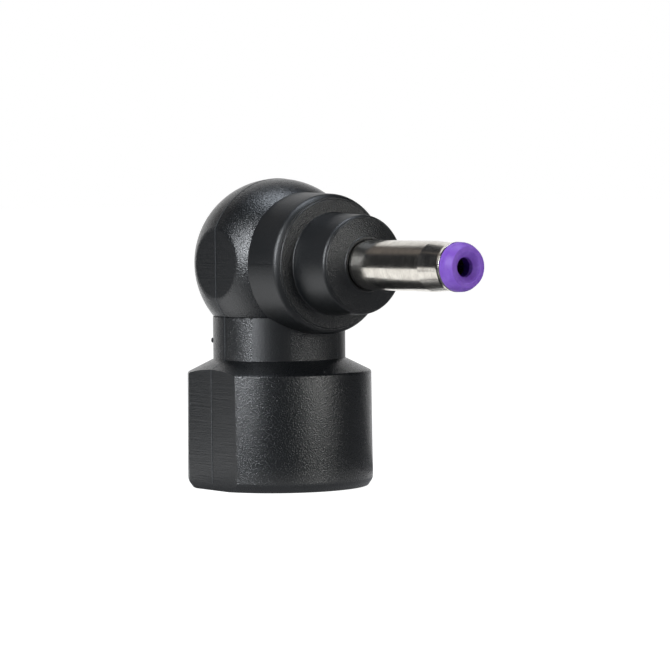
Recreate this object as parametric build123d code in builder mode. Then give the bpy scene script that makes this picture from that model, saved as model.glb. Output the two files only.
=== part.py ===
"""Right-angle direct-current power tip with a 3.0 x 1.1 mm coaxial plug.

A moulded elbow stands on a keyed three-pin socket and carries a plated barrel at right angles.
Units are millimetres. The origin is the centre of the collar's underside, +Z runs up the neck
and +X runs out along the barrel.
"""

import os

from build123d import *

# Elbow overmould, from the bottom up
collar_diameter = 11.6  # at the lower edge
collar_draft = 0.05  # how much the radius shrinks towards the shoulder
collar_across_flats = 10.38
collar_edge_width = 0.36  # bevel round the underside, measured outwards
collar_edge_height = 0.52  # the same bevel, measured upwards
shoulder_height = 7.15  # where the collar turns into its cone
shoulder_rounding = 0.18
cone_height = 0.80
neck_diameter = 8.28
neck_crease = 0.07  # the neck ends this far below the ball's own width
axis_height = 13.9  # barrel axis above the underside
head_diameter = 10.5
head_flat_depth = 0.475  # cut from each side of the ball
head_flat_rounding = 0.12

# Stepped rings that the barrel leaves through
ring_diameter = 8.55  # at its front
ring_draft = 0.20  # how much wider it would be on the upright axis, on the radius
ring_reach = 5.78  # front face, from the upright axis
ring_rounding = 0.20
collet_diameter = 6.0  # at its front
collet_draft = 0.11  # how much wider its root is, on the radius
collet_length = 3.07
collet_rounding = 0.20
collet_crown = 0.31  # how far the face rises from its edge to the barrel
lip_width = 0.19
lip_bevel = 0.04
lip_rise = 0.06
lip_gap = 0.05  # annular gap between lip and barrel
lip_gap_depth = 0.19  # behind the lip's front

# Plug
barrel_diameter = 3.0
barrel_wall = 0.20
plug_length = 9.82  # from the collet's edge plane to the end of the plug
tip_protrusion = 0.89  # insulator ahead of the metal
barrel_end_rounding = 0.16
groove_depth = 0.05
groove_sag = 0.01  # how much deeper the middle of its floor is
groove_length = 1.55
groove_setback = 0.41  # from the metal's end
groove_ramp = 0.12
root_step = 0.25  # how much thicker the part inside the rings is, on the radius
root_taper = 0.45  # length over which that part narrows
flange_diameter = 4.4
flange_thickness = 0.60
flange_setback = 0.78  # flange's rear face behind the ring's front face

# Insulator at the plug's end
tip_diameter = 2.91
tip_draft = 0.02  # how much narrower it is where its rounding starts, on the radius
tip_rounding = 0.45
pin_hole_diameter = 1.16  # hole through insulator and contact for the mating centre pin
tip_countersink_diameter = 1.86
tip_countersink_depth = 0.30
tip_web = 0.80  # length of the narrow bore behind the countersink

# Centre contact
contact_diameter = 1.60
contact_slot_width = 0.20
contact_slot_length = 3.0
contact_clearance = 0.05  # room to spring inside the insulator
contact_front_gap = 0.05
shank_diameter = 1.10
shank_length = 2.60
cup_depth = 0.95
contact_floor = 0.60  # solid length behind the bore

# Rear insulator and ground lug
bush_length = 2.30
bush_overlap = 1.15  # length of contact held in the bush
bush_flange_diameter = 3.7
bush_flange_thickness = 0.60
lug_diameter = 4.4
lug_thickness = 0.30
lug_tab_width = 1.20
lug_tab_length = 2.80

# Keyed socket in the underside
socket_length = 7.2  # along X
socket_width = 5.0  # along Y
socket_depth = 6.30
socket_wall = 0.70
socket_corner = 1.20
socket_key = 0.80  # corners cut off on the +X side
socket_recess = 0.20  # rim above the underside
socket_floor = 0.70
boss_length = 6.0
boss_width = 2.2
boss_height = 0.80
pin_diameter = 0.90
pin_pitch = 2.2
pin_reach = 2.35  # pin standing free inside the socket
pin_nose = 0.35  # rounding of its free end

# Coding board
board_length = 5.8
board_width = 2.9
board_thickness = 0.60
board_corner = 0.40
pin_stub = 0.25  # pin above the board
resistor_length = 1.0
resistor_width = 0.5
resistor_height = 0.35
resistor_band = 0.22  # plated end cap
resistor_band_step = 0.03  # cap above the ceramic
row_offset = 0.95  # wires and resistor beside the row of pins
column_offset = 1.10

# Wires and solder
conductor_diameter = 0.70
jacket_diameter = 1.20
wire_bend = 1.0
wire_rise_share = 4 / 11  # of the height below the lug's tab, for the shorter wire's bend
wire_sweep = 1.5  # gentle bend in line with the contact
wire_run_in = 1.95  # straight run ahead of the contact's cup
jacket_start = 0.70  # above the board
jacket_share = 0.75  # how much of the run to the contact is covered
negative_wire_reach = 2.90  # from the upright axis
negative_wire_offset = 0.10  # end of the wire beside the tab's centre line
joint_height = 0.28
joint_spread = 0.18
joint_top_spread = 0.02
bead_length = 0.90
bead_width = 0.96
bead_corner = 0.20
bead_overlap = 0.10  # bead past the end of the wire
bead_sink = 0.7  # share of the wire's thickness that the bead covers

# Inner mould that holds the joints
mould_diameter = 6.4
mould_arm_diameter = 5.4

# Worked out from the sizes above
collar_radius = collar_diameter / 2
shoulder_radius = collar_radius - collar_draft
neck_radius = neck_diameter / 2
neck_base = shoulder_height + cone_height
head_radius = head_diameter / 2
neck_top = axis_height - (head_radius**2 - neck_radius**2) ** 0.5 - neck_crease
head_across_flats = head_diameter - 2 * head_flat_depth
ring_radius = ring_diameter / 2
collet_radius = collet_diameter / 2
collet_front = ring_reach + collet_length
barrel_radius = barrel_diameter / 2
sleeve_bore_radius = barrel_radius - barrel_wall
lip_inner_radius = barrel_radius + lip_gap
lip_outer_radius = lip_inner_radius + lip_width
crown_front = collet_front + collet_crown
lip_front = crown_front + lip_rise
plug_end = collet_front + plug_length
barrel_end = plug_end - tip_protrusion
flange_rear = ring_reach - flange_setback
flange_front = flange_rear + flange_thickness
flange_radius = flange_diameter / 2
root_radius = barrel_radius + root_step
taper_end = lip_front - lip_gap_depth
taper_start = taper_end - root_taper
contact_radius = contact_diameter / 2
pin_hole_radius = pin_hole_diameter / 2
chamber_radius = contact_radius + contact_clearance
web_rear = plug_end - tip_countersink_depth - tip_web
contact_front = web_rear - contact_front_gap
lug_rear = flange_rear - lug_thickness
lug_radius = lug_diameter / 2
bush_rear = lug_rear - bush_flange_thickness
bush_front = lug_rear + bush_length
contact_rear = bush_front - bush_overlap
shank_rear = contact_rear - shank_length
shank_radius = shank_diameter / 2
conductor_radius = conductor_diameter / 2
jacket_radius = jacket_diameter / 2
socket_ceiling = socket_recess + socket_depth
shell_top = socket_ceiling + socket_floor
board_base = shell_top + boss_height
board_top = board_base + board_thickness
pin_tip = socket_ceiling - pin_reach
pin_top = board_top + pin_stub
pin_radius = pin_diameter / 2
tab_underside = axis_height - lug_radius
mould_radius = mould_diameter / 2
mould_arm_radius = mould_arm_diameter / 2

barrel_axis = Axis((0, 0, axis_height), (1, 0, 0))
barrel_plane = Plane(origin=(0, 0, axis_height), x_dir=(1, 0, 0), z_dir=(0, -1, 0))
across_barrel = Plane(origin=(0, 0, axis_height), x_dir=(0, 1, 0), z_dir=(1, 0, 0))
pin_places = [(-pin_pitch, 0), (0, 0), (pin_pitch, 0)]
positive_place = (-column_offset, -row_offset)
negative_place = (column_offset, -row_offset)


def disc_along_barrel(radius, start, end, mode=Mode.ADD):
    """Add or cut a round bar on the barrel's axis, between two places along it."""
    with BuildSketch(across_barrel.offset(start)) as disc:
        Circle(radius)
    extrude(disc.sketch, amount=end - start, mode=mode)


def mould_form(mode=Mode.ADD):
    """The inner mould: an upright post, its domed top and an arm round the plug's rear."""
    with BuildSketch(Plane.XY.offset(shell_top)) as post:
        Circle(mould_radius)
    extrude(post.sketch, amount=axis_height - shell_top, mode=mode)
    with Locations((0, 0, axis_height)):
        Sphere(mould_radius, mode=mode)
    disc_along_barrel(mould_arm_radius, 0, flange_rear, mode)


def shell_form(low, mode=Mode.ADD):
    """The socket shell as one closed block, from a low face up to the shell's top."""
    with BuildSketch(Plane.XY.offset(low)) as outline:
        RectangleRounded(
            socket_length + 2 * socket_wall,
            socket_width + 2 * socket_wall,
            socket_corner,
        )
    extrude(outline.sketch, amount=shell_top - low, mode=mode)


def route(points, radii):
    """A wire's centre line: straight runs joined by tangent arcs."""
    with BuildLine() as line:
        FilletPolyline(*points, radius=radii)
    return line.line


def sweep_ring(line, outer, inner=0.0):
    """Sweep a round section, or a ring, along a centre line."""
    with BuildSketch(Plane(origin=line @ 0, z_dir=line % 0)) as section:
        Circle(outer)
        if inner > 0:
            Circle(inner, mode=Mode.SUBTRACT)
    sweep(section.sketch, path=line)


# Plug barrel: plated tube with a rear flange, a thicker root and a shallow retaining groove
groove_end = barrel_end - groove_setback
groove_start = groove_end - groove_length
groove_radius = barrel_radius - groove_depth
with BuildPart() as barrel_sleeve:
    with BuildSketch(barrel_plane):
        with BuildLine():
            Polyline(
                (flange_rear, sleeve_bore_radius),
                (flange_rear, flange_radius),
                (flange_front, flange_radius),
                (flange_front, root_radius),
                (taper_start, root_radius),
                (taper_end, barrel_radius),
                (groove_start, barrel_radius),
                (groove_start + groove_ramp, groove_radius),
            )
            ThreePointArc(
                (groove_start + groove_ramp, groove_radius),
                ((groove_start + groove_end) / 2, groove_radius - groove_sag),
                (groove_end - groove_ramp, groove_radius),
            )
            Polyline(
                (groove_end - groove_ramp, groove_radius),
                (groove_end, barrel_radius),
                (barrel_end - barrel_end_rounding, barrel_radius),
            )
            RadiusArc(
                (barrel_end - barrel_end_rounding, barrel_radius),
                (barrel_end, barrel_radius - barrel_end_rounding),
                barrel_end_rounding,
            )
            Polyline(
                (barrel_end, barrel_radius - barrel_end_rounding),
                (barrel_end, sleeve_bore_radius),
                (flange_rear, sleeve_bore_radius),
            )
        make_face()
    revolve(axis=barrel_axis)
barrel_sleeve.part.label = "barrel_sleeve"

# Insulator that lines the barrel and caps its end
tip_radius = tip_diameter / 2
tip_shoulder_radius = tip_radius - tip_draft
countersink_radius = tip_countersink_diameter / 2
with BuildPart() as tip_insulator:
    with BuildSketch(barrel_plane):
        with BuildLine():
            Polyline(
                (bush_front, chamber_radius),
                (bush_front, sleeve_bore_radius),
                (barrel_end, sleeve_bore_radius),
                (barrel_end, tip_radius),
                (plug_end - tip_rounding, tip_shoulder_radius),
            )
            RadiusArc(
                (plug_end - tip_rounding, tip_shoulder_radius),
                (plug_end, tip_shoulder_radius - tip_rounding),
                tip_rounding,
            )
            Polyline(
                (plug_end, tip_shoulder_radius - tip_rounding),
                (plug_end, countersink_radius),
                (plug_end - tip_countersink_depth, pin_hole_radius),
                (web_rear, pin_hole_radius),
                (web_rear, chamber_radius),
                (bush_front, chamber_radius),
            )
        make_face()
    revolve(axis=barrel_axis)
tip_insulator.part.label = "tip_insulator"

# Centre contact: slotted spring tube in front, solder cup behind
pin_hole_floor = contact_rear + contact_floor
with BuildPart() as centre_contact:
    disc_along_barrel(shank_radius, shank_rear, contact_rear)
    disc_along_barrel(contact_radius, contact_rear, contact_front)
    disc_along_barrel(pin_hole_radius, pin_hole_floor, contact_front, Mode.SUBTRACT)
    disc_along_barrel(conductor_radius, shank_rear, shank_rear + cup_depth, Mode.SUBTRACT)
    with BuildSketch(across_barrel.offset(contact_front)):
        Rectangle(contact_slot_width, contact_diameter)
        Rectangle(contact_diameter, contact_slot_width)
    extrude(amount=-contact_slot_length, mode=Mode.SUBTRACT)
centre_contact.part.label = "centre_contact"

# Flanged bush between the contact and the barrel
with BuildPart() as rear_insulator:
    disc_along_barrel(bush_flange_diameter / 2, bush_rear, lug_rear)
    disc_along_barrel(sleeve_bore_radius, lug_rear, bush_front)
    disc_along_barrel(shank_radius, bush_rear, contact_rear, Mode.SUBTRACT)
    disc_along_barrel(contact_radius, contact_rear, bush_front, Mode.SUBTRACT)
rear_insulator.part.label = "rear_insulator"

# Ground lug: washer on the flange with a tab that runs back for the wire
with BuildPart() as ground_lug:
    disc_along_barrel(lug_radius, lug_rear, flange_rear)
    with BuildSketch(Plane.XY.offset(tab_underside)):
        with Locations((flange_rear - lug_tab_length / 2, 0)):
            Rectangle(lug_tab_length, lug_tab_width)
    extrude(amount=lug_thickness)
    disc_along_barrel(sleeve_bore_radius, lug_rear, flange_rear, Mode.SUBTRACT)
ground_lug.part.label = "ground_lug"

# Socket shell: keyed pocket open to the underside, with a boss that carries the pins
with BuildPart() as socket_shell:
    shell_form(socket_recess)
    with BuildSketch(Plane.XY.offset(socket_recess)):
        pocket = Rectangle(socket_length, socket_width)
        chamfer(pocket.vertices().group_by(Axis.X)[-1], length=socket_key)
    extrude(amount=socket_depth, mode=Mode.SUBTRACT)
    with BuildSketch(Plane.XY.offset(shell_top)):
        SlotOverall(boss_length, boss_width)
    extrude(amount=boss_height)
    with BuildSketch(Plane.XY.offset(socket_ceiling)):
        with Locations(*pin_places):
            Circle(pin_radius)
    extrude(amount=board_base - socket_ceiling, mode=Mode.SUBTRACT)
socket_shell.part.label = "socket_shell"

# Contact pins, straight and round-nosed
pins = {}
for name, place in zip(("positive_pin", "sense_pin", "negative_pin"), pin_places):
    with BuildPart() as pin:
        with BuildSketch(Plane.XY.offset(pin_tip)):
            with Locations(place):
                Circle(pin_radius)
        extrude(amount=pin_top - pin_tip)
        fillet(pin.edges().group_by(Axis.Z)[0], pin_nose)
    pin.part.label = name
    pins[name] = pin

# Coding board on the boss, with holes for the pins and wires
with BuildPart() as circuit_board:
    with BuildSketch(Plane.XY.offset(board_base)):
        RectangleRounded(board_length, board_width, board_corner)
        with Locations(*pin_places):
            Circle(pin_radius, mode=Mode.SUBTRACT)
        with Locations(positive_place, negative_place):
            Circle(conductor_radius, mode=Mode.SUBTRACT)
    extrude(amount=board_thickness)
circuit_board.part.label = "circuit_board"

# Coding resistor: ceramic block with plated end caps
with BuildPart() as id_resistor:
    with BuildSketch(Plane.XY.offset(board_top)):
        with Locations((column_offset, row_offset)):
            Rectangle(resistor_length - 2 * resistor_band, resistor_width)
    extrude(amount=resistor_height - resistor_band_step)
    with BuildSketch(Plane.XY.offset(board_top)):
        cap_offset = (resistor_length - resistor_band) / 2
        with Locations((column_offset - cap_offset, row_offset), (column_offset + cap_offset, row_offset)):
            Rectangle(resistor_band, resistor_width)
    extrude(amount=resistor_height)
id_resistor.part.label = "id_resistor"

# Wires: from the board to the contact's cup, and to the lug's tab
positive_points = [
    (*positive_place, board_base),
    (*positive_place, axis_height),
    (shank_rear - wire_run_in, 0, axis_height),
    (shank_rear + cup_depth, 0, axis_height),
]
negative_height = tab_underside - conductor_radius
negative_bend = (negative_height - board_top) * wire_rise_share
negative_points = [
    (*negative_place, board_base),
    (*negative_place, negative_height),
    (negative_wire_reach, -negative_wire_offset, negative_height),
]
positive_route = route(positive_points, [wire_bend, wire_sweep])
negative_route = route(negative_points, [negative_bend])
with BuildPart() as positive_wire:
    sweep_ring(positive_route, conductor_radius)
positive_wire.part.label = "positive_wire"
with BuildPart() as negative_wire:
    sweep_ring(negative_route, conductor_radius)
negative_wire.part.label = "negative_wire"

jacket_base = board_top + jacket_start
bend_point = Vector(*positive_points[1])
sweep_point = Vector(*positive_points[2])
jacket_stop = bend_point + (sweep_point - bend_point) * jacket_share
positive_jacket_points = [(*positive_place, jacket_base), positive_points[1], tuple(jacket_stop)]
with BuildPart() as positive_jacket:
    sweep_ring(route(positive_jacket_points, [wire_bend]), jacket_radius, conductor_radius)
positive_jacket.part.label = "positive_jacket"
negative_jacket_top = negative_height - negative_bend
with BuildPart() as negative_jacket:
    with BuildSketch(Plane.XY.offset(jacket_base)):
        with Locations(negative_place):
            Circle(jacket_radius)
            Circle(conductor_radius, mode=Mode.SUBTRACT)
    extrude(amount=negative_jacket_top - jacket_base)
negative_jacket.part.label = "negative_jacket"

# Solder: a small cone round each pin and wire on the board
with BuildPart() as board_solder:
    for place, radius in [(p, pin_radius) for p in pin_places] + [
        (positive_place, conductor_radius),
        (negative_place, conductor_radius),
    ]:
        with Locations((*place, board_top + joint_height / 2)):
            Cone(radius + joint_spread, radius + joint_top_spread, joint_height)
            Cylinder(radius, joint_height, mode=Mode.SUBTRACT)
board_solder.part.label = "board_solder"

# Solder collar behind the contact's cup
with BuildPart() as contact_solder:
    disc_along_barrel(conductor_radius + joint_spread, shank_rear - joint_height, shank_rear)
    disc_along_barrel(conductor_radius, shank_rear - joint_height, shank_rear, Mode.SUBTRACT)
contact_solder.part.label = "contact_solder"

# Solder bead that joins the wire to the lug's tab
with BuildPart() as lug_solder:
    with BuildSketch(Plane.XY.offset(tab_underside)):
        with Locations((negative_wire_reach + bead_overlap - bead_length / 2, -negative_wire_offset)):
            RectangleRounded(bead_length, bead_width, bead_corner)
    extrude(amount=-conductor_diameter * bead_sink)
    add(negative_wire.part, mode=Mode.SUBTRACT)
lug_solder.part.label = "lug_solder"

# Inner mould: hard block cast round the joints before the elbow is moulded over it
with BuildPart() as inner_mould:
    mould_form()
    for piece in (
        socket_shell,
        circuit_board,
        id_resistor,
        board_solder,
        *pins.values(),
        positive_wire,
        positive_jacket,
        negative_wire,
        negative_jacket,
        contact_solder,
        lug_solder,
        centre_contact,
        rear_insulator,
        ground_lug,
    ):
        add(piece.part, mode=Mode.SUBTRACT)
inner_mould.part.label = "inner_mould"

# Elbow overmould: collar, cone and neck, head, and the two rings
with BuildPart() as overmould:
    with BuildSketch(Plane.XZ):
        with BuildLine():
            Polyline(
                (0, 0),
                (collar_radius - collar_edge_width, 0),
                (collar_radius, collar_edge_height),
                (shoulder_radius, shoulder_height),
                (neck_radius, neck_base),
                (neck_radius, neck_top),
                (0, neck_top),
                close=True,
            )
        make_face()
    revolve(axis=Axis.Z)
    shoulder = overmould.edges().filter_by(GeomType.CIRCLE).filter_by(
        lambda edge: abs(edge.center().Z - shoulder_height) < 0.01
    )
    fillet(shoulder, shoulder_rounding)
    with BuildSketch(Plane.XY):
        Rectangle(2 * collar_diameter, 2 * collar_diameter)
        Rectangle(2 * collar_diameter, collar_across_flats, mode=Mode.SUBTRACT)
    extrude(amount=neck_base, mode=Mode.SUBTRACT)
    with Locations((0, 0, axis_height)):
        Sphere(head_radius)
    with BuildSketch(Plane.XY.offset(neck_base)):
        Rectangle(2 * head_diameter, 2 * head_diameter)
        Rectangle(2 * head_diameter, head_across_flats, mode=Mode.SUBTRACT)
    extrude(amount=axis_height, mode=Mode.SUBTRACT)
    flat_rims = overmould.edges().filter_by(GeomType.CIRCLE).filter_by(
        lambda edge: abs(abs(edge.center().Y) - head_across_flats / 2) < 0.01
    )
    fillet(flat_rims, head_flat_rounding)
    with BuildSketch(barrel_plane):
        with BuildLine():
            Polyline(
                (0, 0),
                (0, ring_radius + ring_draft),
                (ring_reach - ring_rounding, ring_radius),
            )
            RadiusArc(
                (ring_reach - ring_rounding, ring_radius),
                (ring_reach, ring_radius - ring_rounding),
                ring_rounding,
            )
            Polyline(
                (ring_reach, ring_radius - ring_rounding),
                (ring_reach, collet_radius + collet_draft),
                (collet_front - collet_rounding, collet_radius),
            )
            RadiusArc(
                (collet_front - collet_rounding, collet_radius),
                (collet_front, collet_radius - collet_rounding),
                collet_rounding,
            )
            Polyline(
                (collet_front, collet_radius - collet_rounding),
                (crown_front, lip_outer_radius),
                (lip_front, lip_outer_radius - lip_bevel),
                (lip_front, lip_inner_radius + lip_bevel),
                (lip_front - lip_bevel, lip_inner_radius),
                (taper_end, lip_inner_radius),
                (taper_end, 0),
                (0, 0),
            )
        make_face()
    revolve(axis=barrel_axis)
    mould_form(Mode.SUBTRACT)
    shell_form(0, Mode.SUBTRACT)
    with BuildSketch(barrel_plane):
        with BuildLine():
            Polyline(
                (flange_rear, 0),
                (flange_rear, flange_radius),
                (flange_front, flange_radius),
                (flange_front, root_radius),
                (taper_start, root_radius),
                (taper_end, barrel_radius),
                (taper_end, 0),
                close=True,
            )
        make_face()
    revolve(axis=barrel_axis, mode=Mode.SUBTRACT)
overmould.part.label = "overmould"

os.makedirs("parts", exist_ok=True)
for piece in (
    overmould,
    inner_mould,
    socket_shell,
    *pins.values(),
    circuit_board,
    id_resistor,
    board_solder,
    positive_wire,
    positive_jacket,
    negative_wire,
    negative_jacket,
    contact_solder,
    lug_solder,
    ground_lug,
    rear_insulator,
    centre_contact,
    barrel_sleeve,
    tip_insulator,
):
    export_step(piece.part, f"parts/{piece.part.label}.step")
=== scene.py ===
"""Dress the right-angle power tip: moulded elbow, keyed socket, plated plug and its insulator.

Sizes are in millimetres until a piece is finished, when its mesh is brought to metres in the
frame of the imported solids. +Z runs up the neck and +X runs out along the plug.
"""

from __future__ import annotations

import logging
import math
from dataclasses import dataclass
from enum import Enum
from typing import Sequence

import bmesh
import bpy
from bmesh.types import BMEdge, BMesh, BMFace, BMVert
from bpy.types import Material, NodeSocket, Object, ShaderNode, ShaderNodeTree
from mathutils import Matrix, Vector

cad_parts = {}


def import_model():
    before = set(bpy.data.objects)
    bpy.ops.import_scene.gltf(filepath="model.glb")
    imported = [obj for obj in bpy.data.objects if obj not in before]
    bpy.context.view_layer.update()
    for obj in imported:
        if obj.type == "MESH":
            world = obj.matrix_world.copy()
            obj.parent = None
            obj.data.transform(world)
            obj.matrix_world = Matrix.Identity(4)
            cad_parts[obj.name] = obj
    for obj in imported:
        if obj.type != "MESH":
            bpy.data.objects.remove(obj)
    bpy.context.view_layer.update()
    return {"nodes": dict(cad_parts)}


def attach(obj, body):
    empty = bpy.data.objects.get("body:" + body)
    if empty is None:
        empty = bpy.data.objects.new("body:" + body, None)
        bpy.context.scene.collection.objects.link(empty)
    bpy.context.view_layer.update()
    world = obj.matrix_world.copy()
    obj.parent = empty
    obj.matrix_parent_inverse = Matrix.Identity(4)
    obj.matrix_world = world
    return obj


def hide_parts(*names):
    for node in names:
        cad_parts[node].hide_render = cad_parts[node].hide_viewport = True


Colour = tuple[float, float, float]
Triple = tuple[float, float, float]
Span = tuple[float, float]

LOG = logging.getLogger("power_tip")
MM = 0.001
MERGE_DISTANCE = 0.0005
SHARP_ANGLE = math.radians(20.0)
ARC_STEP = math.radians(9.0)
LEAST_ARC_STEPS = 4
ROUND_PROFILE = 0.5
SIDES = (-1.0, 1.0)
DOWN = (0.0, 0.0, -1.0)
UNIT: Span = (0.0, 1.0)
WHITE: Colour = (1.0, 1.0, 1.0)
DUST: Colour = (0.30, 0.30, 0.31)


class Turning(Enum):
    """Axis that a profile is turned about, and the direction of its first radius."""

    UPRIGHT = ((0.0, 0.0, 1.0), (1.0, 0.0, 0.0))
    BARREL = ((1.0, 0.0, 0.0), (0.0, 0.0, 1.0))
    ACROSS = ((0.0, 1.0, 0.0), (1.0, 0.0, 0.0))


class Joining(Enum):
    """How a second shell changes the first."""

    UNION = "UNION"
    CUT = "DIFFERENCE"


class Slot(Enum):
    """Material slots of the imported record."""

    ELBOW = "moulded_black"
    INNER_MOULD = "natural_polymer"
    SOCKET = "socket_black"
    PINS = "pin_plating"
    BOARD = "board_laminate"
    RESISTOR = "resistor_body"
    SOLDER = "solder"
    COPPER = "copper"
    RED_JACKET = "red_jacket"
    BLACK_JACKET = "black_jacket"
    TINNED = "tinned_brass"
    BUSH = "white_polymer"
    BARREL = "nickel_plate"
    INSULATOR = "purple_polymer"


@dataclass(frozen=True)
class Corner:
    """One corner of a turned profile, in millimetres.

    Args:
        along: place along the axis.
        radius: distance from the axis.
        rounding: radius of the corner's arc, or nothing for a sharp corner.
    """

    along: float
    radius: float
    rounding: float = 0.0


@dataclass(frozen=True)
class Rim:
    """A ring's edge: a soft chamfer, a narrow ledge and a small step up to the face.

    Args:
        width: the chamfer's width along the radius, in millimetres.
        height: how far below the face it starts.
        rounding: radius between the ring's side and the chamfer.
        ledge: width of the flat ledge at its foot.
        step: height of the step from the ledge to the face.
        crease: radius between the chamfer and the ledge.
        lean: how far the step leans inwards, as a share of its height.
        softness: radius of the step's edge, as a share of its height.
    """

    width: float
    height: float
    rounding: float
    ledge: float
    step: float
    crease: float = 0.02
    lean: float = 1 / 3
    softness: float = 0.8

    def corners(self, face: float, radius: float) -> list[Corner]:
        """The profile's corners from the ring's side to its face.

        Args:
            face: place of the face along the axis.
            radius: the ring's radius.

        Returns:
            The corners in order.
        """
        foot = radius - self.width
        top = foot - self.ledge - self.step * self.lean
        return [
            Corner(face - self.height, radius, self.rounding),
            Corner(face - self.step, foot, self.crease),
            Corner(face - self.step, foot - self.ledge),
            Corner(face, top, self.step * self.softness),
        ]


def round_corner(bm: BMesh, vert: BMVert, rounding: float) -> None:
    """Round one corner of a wire with an arc that is tangent to both sides.

    Args:
        bm: the wire's mesh.
        vert: the corner, with two edges.
        rounding: radius of the arc.
    """
    arms = [(edge.other_vert(vert).co - vert.co).normalized() for edge in vert.link_edges]
    turn = math.pi - arms[0].angle(arms[1])
    bmesh.ops.bevel(
        bm,
        geom=[vert],
        offset=rounding * math.tan(turn / 2),
        segments=max(LEAST_ARC_STEPS, math.ceil(turn / ARC_STEP)),
        profile=ROUND_PROFILE,
        affect="VERTICES",
        material=-1,
    )


def bevel_edges(bm: BMesh, edges: list[BMEdge], offset: float, segments: int) -> None:
    """Round or chamfer edges.

    Args:
        bm: the mesh.
        edges: the edges to bevel.
        offset: width of the bevel on each side.
        segments: 1 for a chamfer, more for a rounding.
    """
    bmesh.ops.bevel(
        bm,
        geom=edges,
        offset=offset,
        segments=segments,
        profile=ROUND_PROFILE,
        affect="EDGES",
        clamp_overlap=True,
        material=-1,
    )


def spin_wire(bm: BMesh, turning: Turning, segments: int, height: float) -> None:
    """Turn every edge of a wire about an axis and close the shell.

    Args:
        bm: mesh that holds only the wire.
        turning: axis to turn about.
        segments: steps in the full turn.
        height: the axis's place above the underside.
    """
    bmesh.ops.spin(
        bm,
        geom=bm.verts[:] + bm.edges[:],
        cent=(0.0, 0.0, height),
        axis=turning.value[0],
        angle=math.tau,
        steps=segments,
        use_merge=True,
    )
    bmesh.ops.remove_doubles(bm, verts=bm.verts, dist=MERGE_DISTANCE)
    bmesh.ops.recalc_face_normals(bm, faces=bm.faces)


def turned(
    corners: Sequence[Corner],
    turning: Turning,
    segments: int,
    height: float = 0.0,
    tube: bool = False,
) -> BMesh:
    """Turn a profile into a closed shell.

    Args:
        corners: the profile's corners in order.
        turning: axis to turn about.
        segments: steps in the full turn.
        height: the axis's place above the underside.
        tube: whether the profile is a closed outline that stays clear of the axis.

    Returns:
        The shell, in millimetres.
    """
    along, outward = (Vector(direction) for direction in turning.value)
    centre = Vector((0.0, 0.0, height))
    bm = bmesh.new()
    verts = [bm.verts.new(centre + along * c.along + outward * c.radius) for c in corners]
    for start, end in zip(verts, verts[1:]):
        bm.edges.new((start, end))
    if tube:
        bm.edges.new((verts[-1], verts[0]))
    for vert, corner in zip(verts, corners):
        if corner.rounding > 0:
            round_corner(bm, vert, corner.rounding)
    spin_wire(bm, turning, segments, height)
    return bm


def drop_beyond(bm: BMesh, point: Triple, normal: Triple) -> list[BMEdge]:
    """Drop what lies beyond a plane and leave the cut open.

    Args:
        bm: the shell.
        point: a point on the plane.
        normal: the direction that is dropped.

    Returns:
        The edges round the cut.
    """
    result = bmesh.ops.bisect_plane(
        bm,
        geom=bm.verts[:] + bm.edges[:] + bm.faces[:],
        dist=MERGE_DISTANCE,
        plane_co=point,
        plane_no=normal,
        clear_outer=True,
    )
    return [item for item in result["geom_cut"] if isinstance(item, BMEdge)]


def cut_away(bm: BMesh, point: Triple, normal: Triple) -> None:
    """Cut off what lies beyond a plane and close the cut with a flat face."""
    bmesh.ops.edgeloop_fill(bm, edges=drop_beyond(bm, point, normal))
    bmesh.ops.recalc_face_normals(bm, faces=bm.faces)


def upright_edges(bm: BMesh) -> list[BMEdge]:
    """The edges that run parallel to the upright axis."""
    return [e for e in bm.edges if (e.verts[0].co - e.verts[1].co).xy.length < MERGE_DISTANCE]


def block(size: Span, heights: Span, rounding: float = 0.0, steps: int = 1) -> BMesh:
    """A block about the upright axis, with rounded upright edges if they are asked for.

    Args:
        size: along X and Y.
        heights: of its underside and its top.
        rounding: radius of its upright edges.
        steps: segments of their arcs.

    Returns:
        The block.
    """
    low, high = heights
    bm = bmesh.new()
    bmesh.ops.create_cube(bm, size=1.0)
    bmesh.ops.scale(bm, vec=(*size, high - low), verts=bm.verts)
    bmesh.ops.translate(bm, vec=(0.0, 0.0, (low + high) / 2), verts=bm.verts)
    if rounding > 0:
        bevel_edges(bm, upright_edges(bm), rounding, steps)
    return bm


def loose_object(name: str, bm: BMesh) -> Object:
    """Put a mesh in the scene and let go of its bmesh.

    Args:
        name: name of the object and of its mesh.
        bm: the mesh, which is freed.

    Returns:
        The object.
    """
    mesh = bpy.data.meshes.new(name)
    bm.to_mesh(mesh)
    bm.free()
    item = bpy.data.objects.new(name, mesh)
    bpy.context.scene.collection.objects.link(item)
    return item


def metre_object(name: str, bm: BMesh) -> Object:
    """Bring a mesh from millimetres to metres and put it in the scene."""
    bmesh.ops.scale(bm, vec=(MM, MM, MM), verts=bm.verts)
    return loose_object(name, bm)


def combined(base: BMesh, tool: BMesh, way: Joining = Joining.UNION) -> BMesh:
    """Join a closed shell to another, or cut it out.

    Args:
        base: the shell that is changed.
        tool: the shell that is joined or cut out.
        way: union or cut.

    Returns:
        The new shell. Both arguments are freed.
    """
    base_item = loose_object("base", base)
    tool_item = loose_object("tool", tool)
    modifier = base_item.modifiers.new("joining", "BOOLEAN")
    modifier.operation = way.value
    modifier.solver = "EXACT"
    modifier.object = tool_item
    result = bmesh.new()
    result.from_object(base_item, bpy.context.evaluated_depsgraph_get())
    for item in (base_item, tool_item):
        mesh = item.data
        bpy.data.objects.remove(item)
        bpy.data.meshes.remove(mesh)
    return result


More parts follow.
